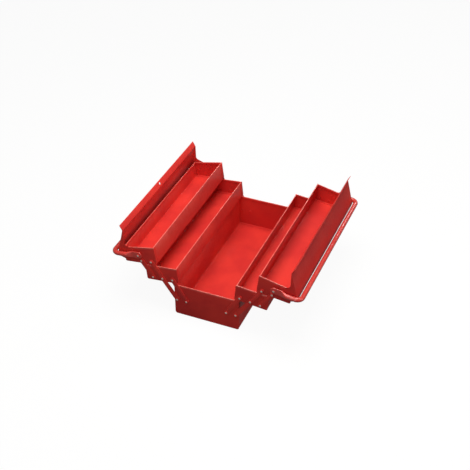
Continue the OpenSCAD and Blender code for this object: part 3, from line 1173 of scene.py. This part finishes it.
@dataclass
class Handle:
    """A carrying handle of steel tube, bent to a U and flattened at its ends."""

    sizes: BoxSizes
    side: Side
    place: Place
    round_points: int = 32
    round_power: float = 2.0
    flat_power: float = 6.0
    nose_rings: int = 12
    nose_start: float = 0.35
    curve_rings: int = 16
    # The whole tube is paled by this much: a painted highlight along the tube, with some scuffing.
    wear: float = 0.45
    smooth: float = 40.0

    @property
    def reach(self) -> float:
        """The distance from the pivot to the middle of the grip.

        The grip passes the edge of the lid with its clearance wherever both swing.

        Returns:
            The distance.
        """
        z = self.sizes
        eave = (Vector((z.skirt_x, z.roof_z(z.skirt_x))) - z.lid_pivot).length
        return (z.handle_pivot - z.lid_pivot).length + eave + z.grip_clearance + z.tube_radius

    def ring(
        self, centre: Point2, half_width: float, half_thickness: float, squareness: float, turn: float = 0.0
    ) -> list[Point3]:
        """One section of the handle, lying level.

        Args:
            centre: Middle of the section as [x, y].
            half_width: Half its width, upright.
            half_thickness: Half its thickness.
            squareness: 0 for round, up to 1 for a flat bar with rounded edges.
            turn: How far the bar has turned from straight ahead, in radians.

        Returns:
            The section's points.
        """
        power = 2 / (self.round_power + (self.flat_power - self.round_power) * squareness)
        out = []
        for k in range(self.round_points):
            angle = 2 * math.pi * k / self.round_points
            c, s = math.cos(angle), math.sin(angle)
            off = math.copysign(abs(c) ** power, c) * half_thickness
            up = math.copysign(abs(s) ** power, s) * half_width
            out.append((centre[0] + off * math.sin(turn), centre[1] + off * math.cos(turn), up))
        return out

    def rings(self) -> list[list[Point3]]:
        """Draws half the handle, from its eye to the start of its grip.

        Returns:
            Its sections in order, each a list of points.
        """
        z = self.sizes
        eye, thin, tube = z.eye_width / 2, z.eye_thickness / 2, z.tube_radius
        out = []
        for k in range(self.nose_rings + 1):
            turn = math.pi / 2 * (k + self.nose_start) / (self.nose_rings + self.nose_start)
            nose = (-eye * math.cos(turn), z.handle_y + thin)
            out.append(self.ring(nose, eye * math.sin(turn), thin, 1.0))
        for k in range(self.curve_rings + 1):
            t = k / self.curve_rings
            f = t * t * (3 - 2 * t)
            half = thin + (tube - thin) * f
            centre = (z.flat_length + z.taper_length * t, z.handle_y + half)
            out.append(self.ring(centre, eye + (tube - eye) * f, half, (1 - f) ** 2))
        x, y = self.reach - z.handle_bend, z.handle_y + tube - z.handle_bend
        for k in range(self.curve_rings + 1):
            turn = math.pi / 2 * k / self.curve_rings
            centre = (x + z.handle_bend * math.sin(turn), y + z.handle_bend * math.cos(turn))
            out.append(self.ring(centre, tube, tube, 0.0, turn))
        return out

    def make(self, paint: Material) -> None:
        """Builds the whole handle, from one eye round to the other.

        Args:
            paint: The finish.
        """
        z, side = self.sizes, self.side.word
        rings = self.rings()
        rings += [[(x, -y, up) for x, y, up in ring] for ring in reversed(rings)]
        move = Matrix.Translation((z.handle_pivot.x, 0, z.handle_pivot.y))
        move @= Matrix.Rotation(-math.radians(z.handle_angle), 4, "Y")
        work = Sheetwork(f"{side}_handle_tube")
        # Pales the whole tube: a painted highlight.
        work.loft([[tuple(move @ Vector(p)) for p in ring] for ring in rings], lambda co: self.wear)
        work.finish(self.place, paint, f"{side}_handle", f"{side}_handle", self.smooth)


# --- What repeats: rivets and spot welds ---


class Fastening(NodeGraph):
    """A Geometry Nodes tree that puts rivets or spot welds on points."""

    def __init__(self, name: str, sizes: dict[str, float], material: Material) -> None:
        """Starts a tree with named number inputs and a material.

        Args:
            name: The tree's name.
            sizes: Its inputs in metres by name.
            material: The finish.
        """
        super().__init__(bpy.data.node_groups.new(name, "GeometryNodeTree"))
        sockets = self.tree.interface
        sockets.new_socket("Geometry", in_out="INPUT", socket_type="NodeSocketGeometry")
        sockets.new_socket("Geometry", in_out="OUTPUT", socket_type="NodeSocketGeometry")
        for label, value in sizes.items():
            socket = sockets.new_socket(label, in_out="INPUT", socket_type="NodeSocketFloat")
            socket.default_value = value
        self.material = material
        self.inputs = self.add("NodeGroupInput").outputs
        self.sink = self.add("NodeGroupOutput")
        self.facing = self.attribute("facing", "FLOAT_VECTOR")
        self.parts: list[Socket] = []

    def attribute(self, name: str, kind: str = "FLOAT") -> Socket:
        """An attribute of the points."""
        node = self.add("GeometryNodeInputNamedAttribute", {"Name": name}, data_type=kind)
        return node.outputs["Attribute"]

    def scaled(self, vector: Socket, factor: float | Socket) -> Socket:
        """A vector times a number."""
        inputs = {0: vector, "Scale": factor}
        return self.add("ShaderNodeVectorMath", inputs, operation="SCALE").outputs[0]

    def vector(self, x: Socket, y: Socket, z: Socket) -> Socket:
        """A vector from three numbers."""
        return self.add("ShaderNodeCombineXYZ", {0: x, 1: y, 2: z}).outputs[0]

    def size(self, radius: str, height: str | Socket) -> Socket:
        """A scale from a radius and a height, each an input by name or an output."""
        across = self.inputs[radius]
        return self.vector(across, across, self.inputs[height] if isinstance(height, str) else height)

    def dome(self, segments: int, rings: int, rim: float) -> Socket:
        """Makes a head of unit size that stands on the XY plane.

        Args:
            segments: Number of faces round it.
            rings: Number of faces over the ball that it comes from.
            rim: Height of the upright rim under the dome.

        Returns:
            The head's geometry.
        """
        equator = -0.001
        ball = self.add("GeometryNodeMeshUVSphere", {"Segments": segments, "Rings": rings, "Radius": 1.0})
        place = self.add("GeometryNodeInputPosition").outputs[0]
        split = self.add("ShaderNodeSeparateXYZ", {0: place}).outputs
        upper = self.math("GREATER_THAN", split["Z"], equator)
        raised = self.math("ADD", self.math("MULTIPLY", split["Z"], 1.0 - rim), rim)
        spot = self.vector(split["X"], split["Y"], self.math("MULTIPLY", upper, raised))
        inputs = {"Geometry": ball.outputs["Mesh"], "Position": spot}
        return self.add("GeometryNodeSetPosition", inputs).outputs["Geometry"]

    def shank(self, segments: int) -> Socket:
        """Makes a pin of unit radius and length that hangs below the XY plane.

        Args:
            segments: Number of faces round it.

        Returns:
            The pin's geometry.
        """
        pin = self.add("GeometryNodeMeshCylinder", {"Vertices": segments, "Radius": 1.0, "Depth": 1.0})
        inputs = {"Geometry": pin.outputs["Mesh"], "Translation": (0.0, 0.0, -0.5)}
        return self.add("GeometryNodeTransform", inputs).outputs["Geometry"]

    def place(
        self,
        part: Socket,
        facing: Socket,
        scale: Socket,
        drop: float | Socket = 0.0,
        chosen: bool | Socket = True,
    ) -> None:
        """Puts a part on every point, or on the chosen ones.

        Args:
            part: The part's geometry.
            facing: Direction of its own Z.
            scale: Its size.
            drop: How far it is moved back along the points' facing.
            chosen: Which points get it.
        """
        offset = self.scaled(self.facing, self.math("MULTIPLY", drop, -1.0))
        inputs = {"Geometry": self.inputs["Geometry"], "Offset": offset}
        points = self.add("GeometryNodeSetPosition", inputs).outputs["Geometry"]
        turn = self.add("FunctionNodeAlignRotationToVector", {"Vector": facing}, axis="Z")
        inputs = {
            "Points": points,
            "Selection": chosen,
            "Instance": part,
            "Rotation": turn.outputs["Rotation"],
            "Scale": scale,
        }
        self.parts.append(self.add("GeometryNodeInstanceOnPoints", inputs).outputs["Instances"])

    def close(self) -> None:
        """Joins the parts, makes them real and gives them the finish."""
        join = self.add("GeometryNodeJoinGeometry")
        for part in reversed(self.parts):
            self.give(join, {0: part})
        real = self.add("GeometryNodeRealizeInstances", {0: join.outputs[0]})
        smooth = self.add("GeometryNodeSetShadeSmooth", {0: real.outputs[0]})
        inputs = {0: smooth.outputs[0], "Material": self.material}
        self.give(self.sink, {0: self.add("GeometryNodeSetMaterial", inputs).outputs[0]})

    def on(
        self,
        name: str,
        points: Sequence[Point3],
        facing: Sequence[Point3],
        numbers: dict[str, Sequence[float]],
    ) -> bpy.types.Object:
        """Runs the tree on a set of points and keeps the plain mesh.

        Args:
            name: Name of the finished piece.
            points: The points, in metres in the shared frame.
            facing: The direction that each point faces.
            numbers: Further attributes of the points by name.

        Returns:
            The finished piece.
        """
        mesh = bpy.data.meshes.new(name)
        mesh.from_pydata(points, [], [])
        layer = mesh.attributes.new("facing", "FLOAT_VECTOR", "POINT")
        layer.data.foreach_set("vector", [c for v in facing for c in v])
        for label, values in numbers.items():
            mesh.attributes.new(label, "FLOAT", "POINT").data.foreach_set("value", values)
        holder = mesh_object(name, mesh)
        modifier = holder.modifiers.new("fastening", "NODES")
        modifier.node_group = self.tree
        made = evaluated(holder)
        holder.modifiers.remove(modifier)
        holder.data = made
        bpy.data.meshes.remove(mesh)
        made.name = name
        made.materials.clear()
        made.materials.append(self.material)
        made.polygons.foreach_set("material_index", [0] * len(made.polygons))
        return holder


def rivet_tree(sizes: BoxSizes, material: Material) -> Fastening:
    """The tree that makes rivets: head, shank, tail and, where one is asked for, a shoulder.

    Args:
        sizes: The box's sizes.
        material: The rivets' finish.

    Returns:
        The tree.
    """
    inputs = {
        "Head radius": sizes.head_radius * MM,
        "Head height": sizes.head_height * MM,
        "Tail radius": sizes.tail_radius * MM,
        "Tail height": sizes.tail_height * MM,
        "Shank radius": sizes.rivet_radius * MM,
        "Shoulder radius": sizes.shoulder_radius * MM,
    }
    work = Fastening("rivets", inputs, material)
    out, back = work.facing, work.scaled(work.facing, -1.0)
    grip, stand, step = (work.attribute(n) for n in ("grip", "stand", "step"))
    head = work.dome(segments=24, rings=12, rim=0.28)
    work.place(head, out, work.size("Head radius", "Head height"))
    work.place(head, back, work.size("Tail radius", "Tail height"), grip)
    work.place(work.shank(segments=20), out, work.size("Shank radius", grip))
    wanted = work.math("GREATER_THAN", stand, 0.0)
    shoulder = work.shank(segments=24)
    work.place(shoulder, out, work.size("Shoulder radius", stand), step, wanted)
    work.close()
    return work


@dataclass
class RivetSet:
    """All rivets of one body.

    They are painted over with the box, and the crowns of their heads are bare zinc, whose pale colour
    is partly a painted glint. A face of a head is bare if it faces outwards by more than a given cosine.
    """

    name: str
    body: str
    nodes: tuple[str, ...]
    sizes: BoxSizes
    points: list[Point3] = field(default_factory=list)
    facing: list[Point3] = field(default_factory=list)
    grip: list[float] = field(default_factory=list)
    stand: list[float] = field(default_factory=list)
    step: list[float] = field(default_factory=list)
    glint_crown: float = 0.955

    def add(self, place: Place, pivot: Vector, end: End, seat_y: float, shoulder_y: float = 0.0) -> None:
        """Adds a rivet.

        Args:
            place: Where the pivot's frame lies.
            pivot: The pivot as [x, z].
            end: The end of the box.
            seat_y: Outer side of what the head holds, from the middle of the box.
            shoulder_y: Inner side of what turns on it, if it has a shoulder up to there, or 0.
        """
        z = self.sizes
        head_y = seat_y + z.head_fit
        self.points.append(tuple(place.matrix() @ Vector((pivot.x, end.value * head_y, pivot.y))))
        self.facing.append((0.0, float(end.value), 0.0))
        self.grip.append((head_y - z.end_y + z.sheet) * MM)
        top_y = shoulder_y - z.head_fit
        self.stand.append((top_y - z.end_y) * MM if shoulder_y else 0.0)
        self.step.append((head_y - top_y) * MM if shoulder_y else 0.0)

    def make(self, tree: Fastening, paint: Material) -> None:
        """Builds the rivets as one piece.

        Args:
            tree: The tree that makes rivets.
            paint: The finish over all but their crowns.
        """
        numbers = {"grip": self.grip, "stand": self.stand, "step": self.step}
        piece = tree.on(self.name, self.points, self.facing, numbers)
        piece.data.materials.append(paint)
        for face in piece.data.polygons:
            outwards = face.normal.y * math.copysign(1.0, face.center.y)
            # Faces turned outwards get the pale zinc, which stands in for the glint on each crown.
            face.material_index = int(outwards < self.glint_crown)
        hang(piece, self.body, Slot.STEEL, *self.nodes)


@dataclass
class SpotWelds:
    """The low round marks of spot welding along the laps of the bins, under the enamel."""

    sizes: BoxSizes
    paint: Material
    radius: float = 2.3
    height: float = 0.16
    floor_pitch: float = 32.0
    wall_pitch: float = 24.0
    floor_margin: float = 12.0
    wall_margin: float = 6.0
    lap_shift: float = 0.5

    def tree(self) -> Fastening:
        """Makes the tree that makes the marks.

        Returns:
            The tree.
        """
        inputs = {"Weld radius": self.radius * MM, "Weld height": self.height * MM}
        work = Fastening("spot_welds", inputs, self.paint)
        dome = work.dome(segments=16, rings=8, rim=0.3)
        work.place(dome, work.facing, work.size("Weld radius", "Weld height"))
        work.close()
        return work

    def spots(self, part: Bin) -> Iterator[tuple[Point3, Point3]]:
        """Lays the marks out.

        Args:
            part: The bin.

        Yields:
            The place and the direction of each mark, in the bin's frame.
        """
        z, edge = self.sizes, self.floor_margin
        low = part.bend + 2 * z.sheet + self.wall_margin
        for end in End:
            y = end.value * (z.end_y - z.floor_lap / 2 - self.lap_shift)
            for x in spread(edge, part.width - edge, round(part.width / self.floor_pitch)):
                yield (x, y, 2 * z.sheet), (0, 0, 1)
            y = end.value * (z.end_y - z.wall_lap / 2 - self.lap_shift)
            for x, height, out in ((0.0, part.inner_height, -1), (part.width, part.outer_height, 1)):
                top = height - z.rim_width - self.wall_margin
                for up in spread(low, top, round((height - low) / self.wall_pitch)):
                    yield (x, y, up), (out, 0, 0)

    def make(self, bins: Sequence[Bin]) -> None:
        """Puts the marks on the bins.

        Args:
            bins: The bins.
        """
        tree = self.tree()
        for part in bins:
            move = part.place.matrix()
            spin = move.to_3x3().normalized()
            spots = list(self.spots(part))
            points = [tuple(move @ Vector(point)) for point, _ in spots]
            facing = [tuple(spin @ Vector(way)) for _, way in spots]
            hang(tree.on(f"{part.body}_spot_welds", points, facing, {}), part.body, Slot.ENAMEL)


# --- The studio ---


@dataclass(frozen=True)
class Lamp:
    """A soft square lamp, aimed at the middle of the box."""

    name: str
    place: Point3
    size: float
    watts: float
    tint: Point3 = (1.0, 1.0, 1.0)
    aim: Point3 = (0.0, 0.0, 0.1)

    def make(self) -> None:
        """Hangs the lamp."""
        light = bpy.data.lights.new(self.name, "AREA")
        light.size = self.size
        light.energy = self.watts
        light.color = self.tint
        lamp = bpy.data.objects.new(self.name, light)
        bpy.context.scene.collection.objects.link(lamp)
        lamp.location = self.place
        look = Vector(self.aim) - Vector(self.place)
        lamp.rotation_euler = look.to_track_quat("-Z", "Y").to_euler()


LAMPS = (
    Lamp("top_lamp", (0.02, 0.0, 1.9), size=1.3, watts=33.0, tint=(1.0, 0.98, 0.94)),
    Lamp("front_lamp", (0.0, -1.2, 1.7), size=0.8, watts=5.5, tint=(1.0, 0.98, 0.95)),
    Lamp("low_lamp", (0.3, -2.2, 0.4), size=0.8, watts=4.5, tint=(1.0, 0.96, 0.93)),
    Lamp("side_lamp", (2.0, -0.3, 1.0), size=1.2, watts=12.0, tint=(1.0, 0.96, 0.93)),
    Lamp("back_lamp", (0.6, 2.1, 1.5), size=0.4, watts=6.0),
)


@dataclass
class Studio:
    """A plain white floor, soft lamps and the camera.

    The floor is white to the camera, darker to the light that it sends back, and weak in
    reflections, so that it does not veil the paint.
    """

    camera_place: Point3 = (0.904428, -2.16456, 1.88739)
    yaw: float = -0.401052
    pitch: float = 0.639601
    roll: float = -0.00566
    focal_pixels: float = 979.404
    frame_pixels: int = 470
    sensor: float = 36.0
    clip_end: float = 60.0
    sky_strength: float = 0.08
    floor_size: float = 9.0
    floor_shade: Point3 = (0.1, 0.1, 0.1)
    floor_glow: float = 0.94
    floor_in_gloss: float = 0.08

    def make_camera(self) -> None:
        """Sets the camera up."""
        camera = bpy.data.cameras.new("camera")
        camera.sensor_width = self.sensor
        camera.lens = self.focal_pixels / self.frame_pixels * camera.sensor_width
        camera.clip_end = self.clip_end
        eye = bpy.data.objects.new("camera", camera)
        bpy.context.scene.collection.objects.link(eye)
        ahead, level = math.cos(self.pitch), math.sin(self.pitch)
        look = Vector((math.sin(self.yaw) * ahead, math.cos(self.yaw) * ahead, -level))
        right = Vector((math.cos(self.yaw), -math.sin(self.yaw), 0))
        up = right.cross(look)
        c, s = math.cos(self.roll), math.sin(self.roll)
        right, up = c * right + s * up, c * up - s * right
        turn = Matrix((right, up, -look)).transposed().to_4x4()
        eye.matrix_world = Matrix.Translation(self.camera_place) @ turn
        bpy.context.scene.camera = eye

    def white(self) -> Material:
        """Makes the floor's matt white.

        Returns:
            The material.
        """
        material, graph, shader = new_material("white_floor")
        path = graph.add("ShaderNodeLightPath").outputs
        camera = path["Is Camera Ray"]
        colour = graph.mix(camera, self.floor_shade, (1.0, 1.0, 1.0))
        graph.give(shader, {"Base Color": colour, "Roughness": 0.9, "Specular IOR Level": 0.1})
        gloss = graph.math("MULTIPLY", path["Is Glossy Ray"], self.floor_in_gloss)
        seen = graph.math("MAXIMUM", graph.math("MAXIMUM", camera, gloss), path["Is Transmission Ray"])
        share = graph.math("MULTIPLY", seen, self.floor_glow)
        plain = graph.add("ShaderNodeEmission").outputs[0]
        surface = graph.blend(share, shader.outputs[0], plain)
        graph.give(material.node_tree.nodes["Material Output"], {"Surface": surface})
        return material

    def make_floor(self) -> None:
        """Lays the floor."""
        bm = bmesh.new()
        bmesh.ops.create_grid(bm, x_segments=1, y_segments=1, size=self.floor_size)
        floor = mesh_object("floor", bm)
        bm.free()
        floor.data.materials.append(self.white())

    def make_light(self) -> None:
        """Sets the sky and the lamps."""
        scene = bpy.context.scene
        scene.view_settings.view_transform = "Standard"
        world = bpy.data.worlds.new("studio")
        world.use_nodes = True
        graph = NodeGraph(world.node_tree)
        nodes, white = world.node_tree.nodes, (1.0, 1.0, 1.0, 1.0)
        sky = nodes["Background"]
        graph.give(sky, {"Color": white, "Strength": self.sky_strength})
        plain = graph.add("ShaderNodeBackground", {"Color": white})
        camera = graph.add("ShaderNodeLightPath").outputs["Is Camera Ray"]
        surface = graph.blend(camera, sky.outputs[0], plain.outputs[0])
        graph.give(nodes["World Output"], {"Surface": surface})
        scene.world = world
        for lamp in LAMPS:
            lamp.make()

    def make(self) -> None:
        """Builds the studio."""
        self.make_camera()
        self.make_floor()
        self.make_light()


# --- The whole box ---


@dataclass
class ToolBox:
    """The cantilever tool box: base, four trays, arms, lids, handles and rivets."""

    sizes: BoxSizes = field(default_factory=BoxSizes)

    def __post_init__(self) -> None:
        """Works out where the pivots are."""
        self.pivots = Pivots.opened(self.sizes)

    def tray_place(self, side: Side, tier: Tier) -> Place:
        """Where a tray lies.

        Args:
            side: Its side of the box.
            tier: Its height.

        Returns:
            The place.
        """
        p = self.pivots
        if tier is Tier.LOWER:
            return Place(side, tuple(p.lower_origin), p.lower_tilt)
        return Place(side, tuple(p.upper_origin), p.upper_tilt)

    def lid_place(self, side: Side) -> Place:
        """Where an open lid lies.

        Args:
            side: Its side of the box.

        Returns:
            The place.
        """
        z = self.sizes
        tray = self.tray_place(side, Tier.UPPER)
        return replace(tray, lid_pivot=tuple(z.lid_pivot), lid_angle=math.radians(z.lid_angle))

    def bins(self) -> list[Bin]:
        """Lists the base and the four trays.

        Returns:
            The bins.
        """
        z = self.sizes
        middle = Place(Side.RIGHT, (-z.width / 2, 0.0))
        out = [Bin("base", "base", z, middle, z.width, z.base_height, z.base_height, z.base_bend)]
        heights = {
            Tier.LOWER: (z.lower_height, z.lower_height),
            Tier.UPPER: (z.upper_inner_height, z.upper_outer_height),
        }
        for side in Side:
            for tier in Tier:
                prefix, place = f"{side.word}_{tier.word}", self.tray_place(side, tier)
                fit = (z.tray_width, *heights[tier], z.tray_bend)
                out.append(Bin(prefix, f"{prefix}_tray", z, place, *fit))
        return out

    def rivets(self) -> list[RivetSet]:
        """Lists the rivets of the base and of the four trays.

        Returns:
            The sets of rivets, one for each body that carries some.
        """
        z, p = self.sizes, self.pivots
        arm_top, lug_top = z.arm_y + z.arm_thickness, z.lug_y + z.sheet
        lower_insets = (z.lower_short_inset, z.lower_long_inset, z.lower_outer_inset)
        lower_pivots = [Vector((inset, z.lower_pivot_height)) for inset in lower_insets]
        upper_short = Vector((z.upper_short_inset, z.upper_pivot_height))
        base = RivetSet("base_arm_rivets", "base", ("base_rivets",), z)
        out = [base]
        for side in Side:
            w = side.word
            nodes = (f"{w}_upper_rivets", f"{w}_lid_pivots", f"{w}_handle_pivots")
            lower = RivetSet(f"{w}_lower_arm_rivets", f"{w}_lower_tray", (f"{w}_lower_rivets",), z)
            upper = RivetSet(f"{w}_upper_pivot_rivets", f"{w}_upper_tray", nodes, z)
            low, high = self.tray_place(side, Tier.LOWER), self.tray_place(side, Tier.UPPER)
            for end in End:
                for pivot in (p.base_long, p.base_short):
                    base.add(Place(side), pivot, end, arm_top)
                for pivot in lower_pivots:
                    lower.add(low, pivot, end, arm_top)
                for pivot in (p.upper_long_local, upper_short):
                    upper.add(high, pivot, end, arm_top)
                upper.add(high, z.lid_pivot, end, lug_top, z.lug_y)
                upper.add(high, z.handle_pivot, end, z.handle_y + z.eye_thickness, z.handle_y)
            out += [lower, upper]
        return out

    def make(self, finishes: Finishes) -> None:
        """Builds every piece of the box.

        Args:
            finishes: The materials.
        """
        paint, bins = finishes.enamel, self.bins()
        for part in bins:
            part.make(paint)
        for side in Side:
            for end in End:
                ArmSet(self.sizes, self.pivots, side, end).make(paint)
            Lid(self.sizes, side, self.lid_place(side)).make(paint)
            Handle(self.sizes, side, self.tray_place(side, Tier.UPPER)).make(paint)
        tree = rivet_tree(self.sizes, finishes.zinc)
        for rivets in self.rivets():
            rivets.make(tree, paint)
        SpotWelds(self.sizes, paint).make(bins)


def main() -> None:
    """Builds the studio and the box."""
    logging.basicConfig(level=logging.INFO, format="%(name)s: %(message)s")
    Studio().make()
    ToolBox().make(Finishes())


if __name__ == "__main__":
    main()
